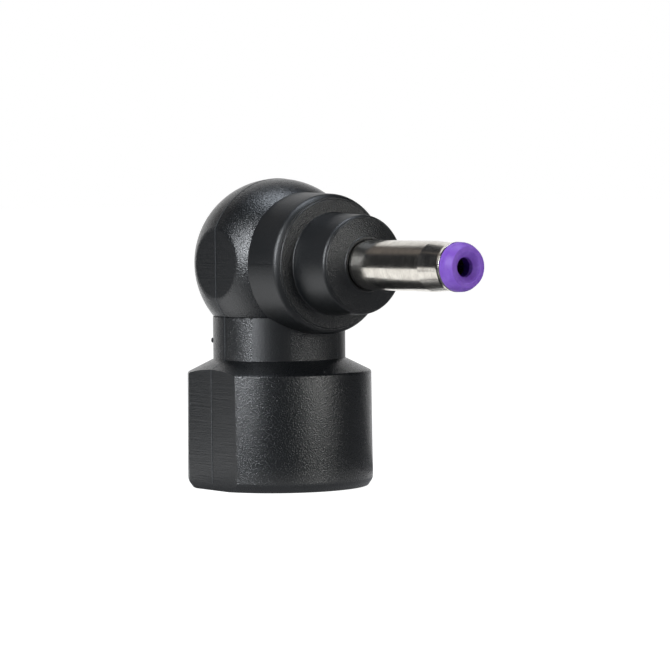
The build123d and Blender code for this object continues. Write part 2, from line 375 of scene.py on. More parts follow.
def finish_piece(
    name: str, bm: BMesh, materials: Sequence[Material], node: str
) -> Object:
    """Bring a shell to metres, make it a piece and let it stand for a solid.

    Args:
        name: the piece's name.
        bm: the shell in millimetres.
        materials: its materials, in the order of the faces' indices.
        node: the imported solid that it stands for.

    Returns:
        The piece.
    """
    bmesh.ops.remove_doubles(bm, verts=bm.verts, dist=MERGE_DISTANCE)
    for face in bm.faces:
        face.smooth = True
    piece = metre_object(name, bm)
    piece.data.set_sharp_from_angle(angle=SHARP_ANGLE)
    for material in materials:
        piece.data.materials.append(material)
    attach(piece, "root")
    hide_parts(node)
    LOG.info("%s: %d faces, stands for %s", name, len(piece.data.polygons), node)
    return piece


class Graph:
    """Nodes of one shader tree, with short ways to add and join them."""

    NOISE_DETAIL = 3.0

    def __init__(self, tree: ShaderNodeTree) -> None:
        """Work on one tree."""
        self.tree = tree

    def fill(self, node: ShaderNode, inputs: dict[str | int, object]) -> ShaderNode:
        """Give a node's inputs their values and links.

        Args:
            node: the node.
            inputs: a value or a socket for each named or numbered input.

        Returns:
            The same node.
        """
        for name, value in inputs.items():
            if isinstance(value, NodeSocket):
                self.tree.links.new(value, node.inputs[name])
            else:
                node.inputs[name].default_value = value
        return node

    def node(
        self, kind: str, inputs: dict[str | int, object] | None = None, **settings: object
    ) -> ShaderNode:
        """Add a node.

        Args:
            kind: the node's type after ShaderNode.
            inputs: a value or a socket for each named or numbered input.
            settings: the node's own settings.

        Returns:
            The node.
        """
        node = self.tree.nodes.new("ShaderNode" + kind)
        for name, value in settings.items():
            setattr(node, name, value)
        return self.fill(node, inputs or {})

    def group(self, tree: ShaderNodeTree, inputs: dict[str, object]) -> bpy.types.NodeOutputs:
        """Place a node group with its own values, and give its outputs."""
        return self.node("Group", inputs, node_tree=tree).outputs

    def math(self, operation: str, first: object, second: object) -> NodeSocket:
        """Work out a value from two values or sockets, by Blender's name of the operation."""
        return self.node("Math", {0: first, 1: second}, operation=operation).outputs[0]

    def ramp(self, value: NodeSocket, span: Span, result: Span = UNIT) -> NodeSocket:
        """Map a value from one range to another and hold it at the ends.

        Args:
            value: the value.
            span: its range.
            result: what the range's ends turn into.

        Returns:
            The result's socket.
        """
        inputs = {"Value": value, "From Min": span[0], "From Max": span[1]}
        inputs |= {"To Min": result[0], "To Max": result[1]}
        return self.node("MapRange", inputs, clamp=True).outputs["Result"]

    def blend(self, share: object, first: object, second: object) -> NodeSocket:
        """Blend two colours by the share of the second."""
        inputs = {0: share, 6: first, 7: second}
        return self.node("Mix", inputs, data_type="RGBA", clamp_factor=True).outputs[2]

    def noise(self, vector: NodeSocket, scale: object, roughness: float) -> NodeSocket:
        """A cloudy value of a few octaves."""
        inputs = {"Vector": vector, "Scale": scale, "Detail": self.NOISE_DETAIL}
        return self.node("TexNoise", inputs | {"Roughness": roughness}).outputs["Fac"]

    def place(self) -> NodeSocket:
        """The piece's own coordinates, in metres."""
        return self.node("TexCoord").outputs["Object"]

    def upright(self, place: NodeSocket) -> NodeSocket:
        """Coordinates whose first direction runs along the upright axis."""
        inputs = {"Vector": place, "Rotation": (0.0, math.pi / 2, 0.0)}
        return self.node("Mapping", inputs).outputs["Vector"]

    def bump(self, height: NodeSocket) -> NodeSocket:
        """Normals that follow a height in metres."""
        inputs = {"Height": height, "Strength": 1.0, "Distance": 1.0}
        return self.node("Bump", inputs).outputs["Normal"]

    def lit_or_seen(self, lit: ShaderNode, seen: ShaderNode) -> NodeSocket:
        """Choose a shader by the kind of ray.

        Args:
            lit: what plain light meets.
            seen: what the camera, mirrors and glass show.

        Returns:
            The mixed shader's socket.
        """
        path = self.node("LightPath")
        shown = self.math("ADD", path.outputs["Is Camera Ray"], path.outputs["Is Glossy Ray"])
        shown = self.math("ADD", shown, path.outputs["Is Transmission Ray"])
        mix = self.node("MixShader", {0: shown, 1: lit.outputs[0], 2: seen.outputs[0]})
        return mix.outputs[0]


def opaque(colour: Colour) -> tuple[float, float, float, float]:
    """A colour with full alpha."""
    return (*colour, 1.0)


def blank_graph(owner: Material | bpy.types.World) -> Graph:
    """Empty the node tree of a material or of the world.

    Args:
        owner: the material or world.

    Returns:
        The tree's graph.
    """
    owner.use_nodes = True
    owner.node_tree.nodes.clear()
    return Graph(owner.node_tree)


def start_group(
    name: str, inputs: Sequence[str], outputs: Sequence[str]
) -> tuple[Graph, bpy.types.NodeOutputs, ShaderNode]:
    """Start a shader node group whose sockets are numbers, apart from Vector.

    Args:
        name: the group's name.
        inputs: names of its inputs.
        outputs: names of its outputs.

    Returns:
        The group's graph, the sockets of its inputs and the node that takes its outputs.
    """
    tree = bpy.data.node_groups.new(name, "ShaderNodeTree")
    for direction, names in (("INPUT", inputs), ("OUTPUT", outputs)):
        for socket in names:
            kind = "NodeSocketVector" if socket == "Vector" else "NodeSocketFloat"
            tree.interface.new_socket(name=socket, in_out=direction, socket_type=kind)
    start = tree.nodes.new("NodeGroupInput")
    return Graph(tree), start.outputs, tree.nodes.new("NodeGroupOutput")


class Effects:
    """Node groups that several materials share, each built once."""

    GRAIN_ROUGHNESS = 0.62
    DOME_WIDTH = 0.6
    PEAKS: Span = (0.80, 1.08)
    MARK_ROUGHNESS = 0.65
    BROKEN: Span = (0.56, 0.72)
    PATCH_ROUGHNESS = 0.6
    PATCHES: Span = (0.38, 0.66)
    SPECK_RADIUS: Span = (0.03, 0.07)
    CHOSEN: Span = (0.90, 0.93)

    def __init__(self) -> None:
        """Build the groups."""
        self.grain = self._grain()
        self.marks = self._marks()
        self.patches = self._patches()

    def _grain(self) -> ShaderNodeTree:
        """Spark-eroded grain: a height, and a mask of its high points.

        Returns:
            The group.
        """
        graph, start, end = start_group(
            "spark_eroded_grain", ("Vector", "Scale"), ("Height", "Peaks")
        )
        coarse = graph.noise(start["Vector"], start["Scale"], self.GRAIN_ROUGHNESS)
        place = {"Vector": start["Vector"], "Scale": start["Scale"]}
        cells = graph.node("TexVoronoi", place, feature="SMOOTH_F1").outputs["Distance"]
        domes = graph.ramp(cells, (0.0, self.DOME_WIDTH), (self.DOME_WIDTH, 0.0))
        height = graph.math("ADD", coarse, domes)
        graph.fill(end, {"Height": height, "Peaks": graph.ramp(height, self.PEAKS)})
        return graph.tree

    def _marks(self) -> ShaderNodeTree:
        """Fine parallel tool marks, which change along the vector's first direction.

        Returns:
            The group, with the marks' height and a mask of the places where they break.
        """
        graph, start, end = start_group(
            "tool_marks", ("Vector", "Scale", "Run"), ("Height", "Broken")
        )
        stretch = graph.node("CombineXYZ", {"X": 1.0, "Y": start["Run"], "Z": start["Run"]})
        factors = {0: start["Vector"], 1: stretch.outputs["Vector"]}
        vector = graph.node("VectorMath", factors, operation="MULTIPLY").outputs["Vector"]
        lines = graph.noise(vector, start["Scale"], self.MARK_ROUGHNESS)
        graph.fill(end, {"Height": lines, "Broken": graph.ramp(lines, self.BROKEN)})
        return graph.tree

    def _patches(self) -> ShaderNodeTree:
        """Soft uneven patches and sparse specks, both as masks.

        Returns:
            The group.
        """
        graph, start, end = start_group(
            "patches_and_specks", ("Vector", "Scale", "Speck Scale"), ("Patches", "Specks")
        )
        cloud = graph.noise(start["Vector"], start["Scale"], self.PATCH_ROUGHNESS)
        place = {"Vector": start["Vector"], "Scale": start["Speck Scale"]}
        cells = graph.node("TexVoronoi", place).outputs
        chance = graph.node("SeparateColor", {"Color": cells["Color"]}).outputs["Red"]
        near = graph.ramp(cells["Distance"], self.SPECK_RADIUS, (1.0, 0.0))
        specks = graph.math("MULTIPLY", near, graph.ramp(chance, self.CHOSEN))
        graph.fill(end, {"Patches": graph.ramp(cloud, self.PATCHES), "Specks": specks})
        return graph.tree


@dataclass(frozen=True)
class Surface:
    """What a finish adds to its shader.

    Args:
        worn: mask of its worn places.
        height: its relief, in metres.
        others: the shader's other inputs.
        dust: mask of its specks of dust, if it has any.
    """

    worn: NodeSocket
    height: NodeSocket
    others: dict[str, object]
    dust: NodeSocket | None = None


@dataclass(frozen=True)
class Finish:
    """A material with a plain and a worn look.

    Args:
        name: the material's name.
        colour: its plain colour.
        worn_colour: its colour on rubbed high points, tarnish or scuffs.
        roughness: where it is plain.
        worn_roughness: where it is worn.
    """

    name: str
    colour: Colour
    worn_colour: Colour
    roughness: float
    worn_roughness: float

    def _surface(self, graph: Graph, effects: Effects) -> Surface:
        """Make the nodes that this finish alone has.

        Args:
            graph: the material's graph.
            effects: the shared node groups.

        Returns:
            The surface.
        """
        raise NotImplementedError

    def build(self, effects: Effects) -> Material:
        """Make the material.

        Args:
            effects: the shared node groups.

        Returns:
            The material.
        """
        material = bpy.data.materials.new(self.name)
        graph = blank_graph(material)
        surface = self._surface(graph, effects)
        colour = graph.blend(surface.worn, opaque(self.colour), opaque(self.worn_colour))
        if surface.dust is not None:
            colour = graph.blend(surface.dust, colour, opaque(DUST))
        inputs = {
            "Base Color": colour,
            "Roughness": graph.ramp(surface.worn, UNIT, (self.roughness, self.worn_roughness)),
            "Normal": graph.bump(surface.height),
        }
        shader = graph.node("BsdfPrincipled", inputs | surface.others)
        graph.node("OutputMaterial", {"Surface": shader.outputs["BSDF"]})
        return material


@dataclass(frozen=True)
class MouldedFinish(Finish):
    """Moulded plastic with a spark-eroded grain and, on flats, a tool's fine lines.

    Args:
        grain: width of one grain, in millimetres, as all widths and heights.
        relief: height of the grain.
        line_relief: height of the tool's lines.
        line_pitch: width of one line.
        line_run: how fast a line changes along its length, against across it.
        specular: strength of the plain reflection.
        patches: worn patches in a metre.
        specks: cells in a metre that may hold a speck of dust.
        least_wear: wear of the high points outside the patches.
        dust: share of the dust's colour on a speck.
    """

    colour: Colour = (0.0050, 0.0058, 0.0066)
    worn_colour: Colour = (0.010, 0.011, 0.0125)
    roughness: float = 0.45
    worn_roughness: float = 0.36
    grain: float = 0.080
    relief: float = 0.003
    line_relief: float = 0.0
    line_pitch: float = 0.09
    line_run: float = 0.02
    specular: float = 0.78
    patches: float = 420.0
    specks: float = 1300.0
    least_wear: float = 0.35
    dust: float = 0.5

    def _surface(self, graph: Graph, effects: Effects) -> Surface:
        """Add the grain, its wear, the specks of dust and the lines.

        Args:
            graph: the material's graph.
            effects: the shared node groups.

        Returns:
            The surface.
        """
        place = graph.place()
        grain = graph.group(effects.grain, {"Vector": place, "Scale": 1 / (self.grain * MM)})
        patches = graph.group(
            effects.patches, {"Vector": place, "Scale": self.patches, "Speck Scale": self.specks}
        )
        wear = graph.ramp(patches["Patches"], UNIT, (self.least_wear, 1.0))
        worn = graph.math("MULTIPLY", grain["Peaks"], wear)
        dust = graph.math("MULTIPLY", patches["Specks"], self.dust)
        height = graph.math("MULTIPLY", grain["Height"], self.relief * MM)
        if self.line_relief > 0:
            inputs = {"Scale": 1 / (self.line_pitch * MM), "Run": self.line_run}
            lines = graph.group(effects.marks, inputs | {"Vector": graph.upright(place)})
            ridge = graph.math("MULTIPLY", lines["Height"], self.line_relief * MM)
            height = graph.math("ADD", height, ridge)
        return Surface(worn, height, {"Specular IOR Level": self.specular}, dust)


@dataclass(frozen=True)
class MetalFinish(Finish):
    """Turned metal with fine tool marks round its axis and dull patches.

    Args:
        turning: axis that it was turned about.
        mark_pitch: width of one tool mark, in millimetres.
        mark_relief: height of the marks, in millimetres.
        mark_run: how fast a mark changes along its length, against across it.
        marked: the marks' heights that pass from clean to dull.
        patch_size: width of a dull patch, in millimetres.
        specks: cells in a metre that may hold a pit.
        pit_depth: depth of a pit, against the marks' height.
        spots: dullness of pits and broken marks.
        streaks: share of the dullness that follows the marks.
        film: strength of the haze that handling leaves on it.
        film_roughness: of that haze.
    """

    roughness: float = 0.14
    worn_roughness: float = 0.23
    turning: Turning = Turning.BARREL
    mark_pitch: float = 0.06
    mark_relief: float = 0.00015
    mark_run: float = 0.06
    marked: Span = (0.40, 0.60)
    patch_size: float = 0.5
    specks: float = 5200.0
    pit_depth: float = 3.0
    spots: float = 0.35
    streaks: float = 0.45
    film: float = 0.6
    film_roughness: float = 0.5

    def _surface(self, graph: Graph, effects: Effects) -> Surface:
        """Add the tool marks, the dull patches, the pits and the haze.

        Args:
            graph: the material's graph.
            effects: the shared node groups.

        Returns:
            The surface.
        """
        place = graph.place()
        along = graph.upright(place) if self.turning is Turning.UPRIGHT else place
        inputs = {"Vector": along, "Scale": 1 / (self.mark_pitch * MM), "Run": self.mark_run}
        marks = graph.group(effects.marks, inputs)
        inputs = {"Scale": 1 / (self.patch_size * MM), "Speck Scale": self.specks}
        patches = graph.group(effects.patches, inputs | {"Vector": place})
        spots = graph.math("MAXIMUM", patches["Specks"], marks["Broken"])
        lines = graph.ramp(marks["Height"], self.marked)
        streaks = graph.math("MULTIPLY", lines, self.streaks)
        cloudy = graph.math("MULTIPLY", patches["Patches"], 1.0 - self.streaks)
        dull = graph.math("ADD", cloudy, streaks)
        dull = graph.math("ADD", graph.math("MULTIPLY", spots, self.spots), dull)
        film = graph.math("MAXIMUM", lines, patches["Patches"])
        pits = graph.math("MULTIPLY", patches["Specks"], -self.pit_depth)
        relief = graph.math("ADD", marks["Height"], pits)
        others = {
            "Metallic": 1.0,
            "Coat Weight": graph.math("MULTIPLY", film, self.film),
            "Coat Roughness": self.film_roughness,
        }
        height = graph.math("MULTIPLY", relief, self.mark_relief * MM)
        return Surface(graph.math("MINIMUM", dull, 1.0), height, others)


@dataclass(frozen=True)
class SatinFinish(Finish):
    """Satin, slightly translucent moulded polymer.

    Args:
        depth: how far light spreads inside, in millimetres.
        spread: share of the light that spreads inside.
        spread_colour: how far each colour of light spreads, against the depth.
        relief: height of its faint unevenness, in millimetres.
        hollows: hollows in a metre.
        smoothness: how soft the hollows are.
        specular: strength of the plain reflection.
        patches: scuffed patches in a metre.
        specks: cells in a metre that may hold a small scuff.
        patch_wear: strength of the scuffed patches.
        speck_wear: strength of the small scuffs.
    """

    roughness: float = 0.42
    worn_roughness: float = 0.52
    depth: float = 0.35
    spread: float = 0.25
    spread_colour: Colour = (1.0, 0.6, 1.2)
    relief: float = 0.012
    hollows: float = 1400.0
    smoothness: float = 0.5
    specular: float = 0.25
    patches: float = 1500.0
    specks: float = 2600.0
    patch_wear: float = 0.45
    speck_wear: float = 0.6

    def _surface(self, graph: Graph, effects: Effects) -> Surface:
        """Add the scuffs, the light inside and the faint unevenness.

        Args:
            graph: the material's graph.
            effects: the shared node groups.

        Returns:
            The surface.
        """
        place = graph.place()
        patches = graph.group(
            effects.patches, {"Vector": place, "Scale": self.patches, "Speck Scale": self.specks}
        )
        large = graph.math("MULTIPLY", patches["Patches"], self.patch_wear)
        small = graph.math("MULTIPLY", patches["Specks"], self.speck_wear)
        cloud = graph.noise(place, self.hollows, self.smoothness)
        others = {
            "Specular IOR Level": self.specular,
            "Subsurface Weight": self.spread,
            "Subsurface Radius": self.spread_colour,
            "Subsurface Scale": self.depth * MM,
        }
        height = graph.math("MULTIPLY", cloud, self.relief * MM)
        return Surface(graph.math("MAXIMUM", large, small), height, others)


class Region(Enum):
    """Finishes on the elbow, in the order of its materials."""

    GRAINED = 0
    SMOOTH = 1
    FLAT = 2
    SEAM = 3
    GRAINED_FLAT = 4
    FACE = 5


@dataclass
class Elbow:
    """The moulded elbow: collar, cone, neck, ball head and the two rings round the plug."""

    collar_diameter: float = 11.6
    collar_draft: float = 0.05
    collar_across_flats: float = 10.38
    collar_flat_rounding: float = 0.80
    collar_edge_width: float = 0.30
    collar_edge_height: float = 0.42
    collar_edge_rounding: float = 0.6
    shoulder_height: float = 7.15
    shoulder_rounding: float = 0.18
    cone_height: float = 0.80
    crease: float = 0.04
    neck_diameter: float = 8.28
    neck_crease: float = 0.07
    neck_rounding: float = 0.03
    axis_height: float = 13.9
    head_diameter: float = 10.5
    head_flat_depth: float = 0.475
    head_flat_rounding: float = 0.60
    ring_diameter: float = 8.55
    ring_draft: float = 0.20
    ring_reach: float = 5.78
    ring_rim: Rim = Rim(width=0.24, height=0.34, rounding=0.45, ledge=0.06, step=0.09)
    collet_diameter: float = 6.0
    collet_draft: float = 0.11
    collet_root_rounding: float = 0.09
    collet_length: float = 3.07
    collet_rim: Rim = Rim(width=0.12, height=0.18, rounding=0.26, ledge=0.035, step=0.05)
    collet_crown: float = 0.31
    lip_inner_diameter: float = 3.1
    lip_outer_diameter: float = 3.48
    lip_rise: float = 0.06
    lip_bevel: float = 0.04
    lip_rounding: float = 0.02
    lip_gap_depth: float = 0.19
    seam_rise: float = 0.018
    seam_width: float = 0.05
    nub_size: Triple = (0.11, 0.11, 0.16)
    nub_height: float = 9.1
    nub_heading: float = math.radians(233.0)
    segments: int = 224
    flat_facing: float = 0.999
    face_facing: float = 0.9
    ball_margin: float = 0.03

    @property
    def neck_base(self) -> float:
        """Height of the cone's top."""
        return self.shoulder_height + self.cone_height

    @property
    def neck_top(self) -> float:
        """Where the neck meets the ball, just below the ball's own width there."""
        ball, neck = self.head_diameter / 2, self.neck_diameter / 2
        return self.axis_height - math.sqrt(ball**2 - neck**2) - self.neck_crease

    @property
    def collet_front(self) -> float:
        """Edge plane of the smaller ring."""
        return self.ring_reach + self.collet_length

    @property
    def lip_front(self) -> float:
        """Foremost plane of the elbow."""
        return self.collet_front + self.collet_crown + self.lip_rise

    def _collar(self, grow: float = 0.0) -> BMesh:
        """Turn the collar, cone and neck, and cut the collar's flats.

        Args:
            grow: how much larger than its full size, which the seam alone has.

        Returns:
            The shell.
        """
        radius = self.collar_diameter / 2 + grow
        neck = self.neck_diameter / 2 + grow
        corners = [
            Corner(0.0, 0.0),
            Corner(0.0, radius - self.collar_edge_width, self.crease),
            Corner(self.collar_edge_height, radius, self.collar_edge_rounding),
            Corner(self.shoulder_height, radius - self.collar_draft, self.shoulder_rounding),
            Corner(self.neck_base, neck, self.crease),
            Corner(self.neck_top, neck, self.neck_rounding),
            Corner(self.neck_top, 0.0),
        ]
        bm = turned(corners, Turning.UPRIGHT, self.segments)
        across = self.collar_across_flats / 2 + grow
        for side in SIDES:
            cut_away(bm, (0.0, side * across, 0.0), (0.0, side, 0.0))
        self._soften_flats(bm, radius, across)
        return bm

    def _soften_flats(self, bm: BMesh, radius: float, across: float) -> None:
        """Cut two narrow facets along each upright border of the collar's flats.

        Args:
            bm: the collar with its flats.
            radius: the collar's radius.
            across: distance of each flat from the middle.
        """
        turn = math.acos(across / radius)
        for lean in (turn / 3, turn * 2 / 3):
            bulge = math.cos(lean - turn / 2) / math.cos(turn / 2) - 1
            reach = radius * math.cos(lean - turn) - self.collar_flat_rounding * bulge
            for side_x in SIDES:
                for side_y in SIDES:
                    outward = (side_x * math.sin(lean), side_y * math.cos(lean), 0.0)
                    cut_away(bm, Vector(outward) * reach, outward)

    def _head(self, grow: float = 0.0) -> BMesh:
        """Turn the ball about the line through its two flats.

        Args:
            grow: how much larger than its full size, which the seam alone has.

        Returns:
            The shell.
        """
        radius = self.head_diameter / 2 + grow
        across = radius - self.head_flat_depth
        rim = math.sqrt(radius**2 - across**2)
        bm = bmesh.new()
        bmesh.ops.spin(
            bm,
            geom=[bm.verts.new((rim, -across, self.axis_height))],
            cent=(0.0, 0.0, self.axis_height),
            axis=(0.0, 0.0, 1.0),
            angle=2 * math.asin(across / radius),
            steps=self.segments // 3,
        )
        for end in [vert for vert in bm.verts if len(vert.link_edges) == 1]:
            centre = bm.verts.new((0.0, end.co.y, self.axis_height))
            bm.edges.new((centre, end))
            round_corner(bm, end, self.head_flat_rounding)
        spin_wire(bm, Turning.ACROSS, self.segments, self.axis_height)
        return bm

    def _rings(self) -> BMesh:
        """Turn the two rings, the crowned face and the lip round the plug.

        Returns:
            The shell.
        """
        ring, collet = self.ring_diameter / 2, self.collet_diameter / 2
        inner, outer = self.lip_inner_diameter / 2, self.lip_outer_diameter / 2
        gap = self.lip_front - self.lip_gap_depth
        corners = [
            Corner(0.0, 0.0),
            Corner(0.0, ring + self.ring_draft),
            *self.ring_rim.corners(self.ring_reach, ring),
            Corner(self.ring_reach, collet + self.collet_draft, self.collet_root_rounding),
            *self.collet_rim.corners(self.collet_front, collet),
            Corner(self.collet_front + self.collet_crown, outer, self.lip_rounding),
            Corner(self.lip_front, outer - self.lip_bevel, self.lip_rounding),
            Corner(self.lip_front, inner, self.lip_bevel),
            Corner(gap, inner),
            Corner(gap, 0.0),
        ]
        return turned(corners, Turning.BARREL, self.segments, self.axis_height)

    def _slice(self, bm: BMesh) -> BMesh:
        """Keep only the thin slice of a form that becomes the mould's seam.

        Args:
            bm: the form, which is changed.

        Returns:
            The same mesh.
        """
        for side in SIDES:
            cut_away(bm, (side * self.seam_width / 2, 0.0, 0.0), (side, 0.0, 0.0))
        return bm

    def _stem(self) -> BMesh:
        """The collar and neck with the mould's seam standing proud of them.

        Returns:
            The shell.
        """
        seam = self._slice(self._collar())
        cut_away(seam, (0.0, 0.0, self.collar_edge_height), DOWN)
        return combined(self._collar(-self.seam_rise), seam)

    def _ball(self) -> BMesh:
        """The head with the mould's seam standing proud of it."""
        return combined(self._head(-self.seam_rise), self._slice(self._head()))

    def _nub(self) -> BMesh:
        """A speck of flash on the neck.

        Returns:
            The shell.
        """
        bm = bmesh.new()
        bmesh.ops.create_icosphere(bm, subdivisions=3, radius=1.0)
        bmesh.ops.scale(bm, vec=self.nub_size, verts=bm.verts)
        reach, heading = self.neck_diameter / 2, self.nub_heading
        place = (reach * math.cos(heading), reach * math.sin(heading), self.nub_height)
        bmesh.ops.translate(bm, vec=place, verts=bm.verts)
        return bm

    def _region(self, face: BMFace) -> Region:
        """Tell which finish a face of the joined elbow gets.

        Args:
            face: the face, in millimetres.

        Returns:
            Its region.
        """
        seam = self.seam_width / 2 + MERGE_DISTANCE
        if all(abs(vert.co.x) < seam for vert in face.verts):
            return Region.SEAM
        centre = face.calc_center_median()
        above = centre.z > self.neck_base
        if abs(face.normal.y) > self.flat_facing and abs(centre.x) < self.collar_diameter / 2:
            return Region.FLAT if centre.x < 0 or above else Region.GRAINED_FLAT
        if above and centre.x > self.ring_diameter / 4:
            off_axis = math.hypot(centre.y, centre.z - self.axis_height)
            ball = self.head_diameter / 2 + self.ball_margin
            if centre.x**2 + off_axis**2 > ball**2:
                return Region.FACE if face.normal.x > self.face_facing else Region.SMOOTH
        return Region.GRAINED

    def build(self, materials: Sequence[Material], seat: BMesh) -> None:
        """Join the elbow's forms, cut the socket's seat and finish the piece.

        Args:
            materials: one for each region.
            seat: the block that the socket's shell fills.
        """
        bm = self._stem()
        for form in (self._ball(), self._rings(), self._nub()):
            bm = combined(bm, form)
        bm = combined(bm, seat, Joining.CUT)
        for face in bm.faces:
            face.material_index = self._region(face).value
        piece = finish_piece("elbow_overmould", bm, materials, "overmould")
        for polygon in piece.data.polygons:
            if polygon.material_index in (Region.FLAT.value, Region.GRAINED_FLAT.value):
                polygon.use_smooth = False


@dataclass
class Socket:
    """The keyed socket in the collar, with its three pins."""

    length: float = 7.2
    width: float = 5.0
    depth: float = 6.30
    wall: float = 0.70
    corner: float = 1.20
    corner_steps: int = 14
    seat_low: float = -1.0
    key: float = 0.80
    pocket_rounding: float = 0.15
    pocket_steps: int = 5
    recess: float = 0.20
    floor: float = 0.70
    mouth_bevel: float = 0.12
    mouth_margin: float = 0.01
    boss_length: float = 6.0
    boss_width: float = 2.2
    boss_height: float = 0.80
    boss_overlap: float = 0.3
    boss_roundness: float = 0.999
    boss_steps: int = 10
    pin_diameter: float = 0.90
    pin_pitch: float = 2.2
    pin_reach: float = 2.35
    pin_nose: float = 0.35
    pin_top: float = 8.85
    pin_edge: float = 0.05
    pin_segments: int = 64
    pin_ring: float = 0.16
    pin_ring_height: float = 0.10
    pin_ring_overlap: float = 0.2
    pin_ring_segments: int = 48

    @property
    def ceiling(self) -> float:
        """Height of the pocket's closed end."""
        return self.recess + self.depth

    @property
    def top(self) -> float:
        """Height of the shell's closed end."""
        return self.ceiling + self.floor

    def _outline(self, low: float) -> BMesh:
        """The shell's outer form as a solid block, from a low face to its top."""
        size = (self.length + 2 * self.wall, self.width + 2 * self.wall)
        return block(size, (low, self.top), self.corner, self.corner_steps)

    def seat(self) -> BMesh:
        """The block that is cut out of the elbow for this socket."""
        return self._outline(self.seat_low)

    def _pocket(self) -> BMesh:
        """The hollow that a lead's plug enters, with its two keyed corners.

        Returns:
            The hollow as a solid block.
        """
        bm = block((self.length, self.width), (self.recess + self.seat_low, self.ceiling))
        keyed = [edge for edge in upright_edges(bm) if edge.verts[0].co.x > 0]
        plain = [edge for edge in upright_edges(bm) if edge.verts[0].co.x < 0]
        bevel_edges(bm, keyed, self.key, 1)
        bevel_edges(bm, plain, self.pocket_rounding, self.pocket_steps)
        return bm

    def _boss(self) -> BMesh:
        """The raised block that carries the pins above the shell.

        Returns:
            The block.
        """
        size = (self.boss_length, self.boss_width)
        heights = (self.top - self.boss_overlap, self.top + self.boss_height)
        rounding = self.boss_width / 2 * self.boss_roundness
        return block(size, heights, rounding, self.boss_steps)

    def _post(self, place: int, low: Corner, high: Corner, segments: int) -> BMesh:
        """Turn a round post at one of the three pins' places.

        Args:
            place: -1, 0 or 1, from the positive pin on.
            low: outer corner of its lower end.
            high: outer corner of its upper end.
            segments: steps in the full turn.

        Returns:
            The shell.
        """
        corners = [Corner(low.along, 0.0), low, high, Corner(high.along, 0.0)]
        bm = turned(corners, Turning.UPRIGHT, segments)
        bmesh.ops.translate(bm, vec=(place * self.pin_pitch, 0.0, 0.0), verts=bm.verts)
        return bm

    def _at_mouth(self, edge: BMEdge) -> bool:
        """Tell whether an edge borders the pocket's mouth.

        Args:
            edge: an edge of the shell.

        Returns:
            Whether it does.
        """
        reach_x = self.length / 2 + self.mouth_margin
        reach_y = self.width / 2 + self.mouth_margin
        return all(
            abs(vert.co.z - self.recess) < MERGE_DISTANCE
            and abs(vert.co.x) < reach_x
            and abs(vert.co.y) < reach_y
            for vert in edge.verts
        )

    def build_shell(self, material: Material) -> None:
        """Shape the shell with its pocket, boss and the small collars round the pins.

        Args:
            material: its plastic.
        """
        bm = combined(self._outline(self.recess), self._pocket(), Joining.CUT)
        bevel_edges(bm, [edge for edge in bm.edges if self._at_mouth(edge)], self.mouth_bevel, 2)
        bm = combined(bm, self._boss())
        radius = self.pin_diameter / 2 + self.pin_ring
        low = Corner(self.ceiling - self.pin_ring_height, radius, self.pin_edge)
        high = Corner(self.ceiling + self.pin_ring_overlap, radius)
        for place in (-1, 0, 1):
            bm = combined(bm, self._post(place, low, high, self.pin_ring_segments))
        finish_piece("socket_shell_body", bm, [material], "socket_shell")

    def build_pins(self, material: Material) -> None:
        """Turn the three pins.

        Args:
            material: their plating.
        """
        radius = self.pin_diameter / 2
        low = Corner(self.ceiling - self.pin_reach, radius, self.pin_nose)
        high = Corner(self.pin_top, radius, self.pin_edge)
        for place, name in zip((-1, 0, 1), ("positive_pin", "sense_pin", "negative_pin")):
            bm = self._post(place, low, high, self.pin_segments)
            finish_piece(name + "_turned", bm, [material], name)


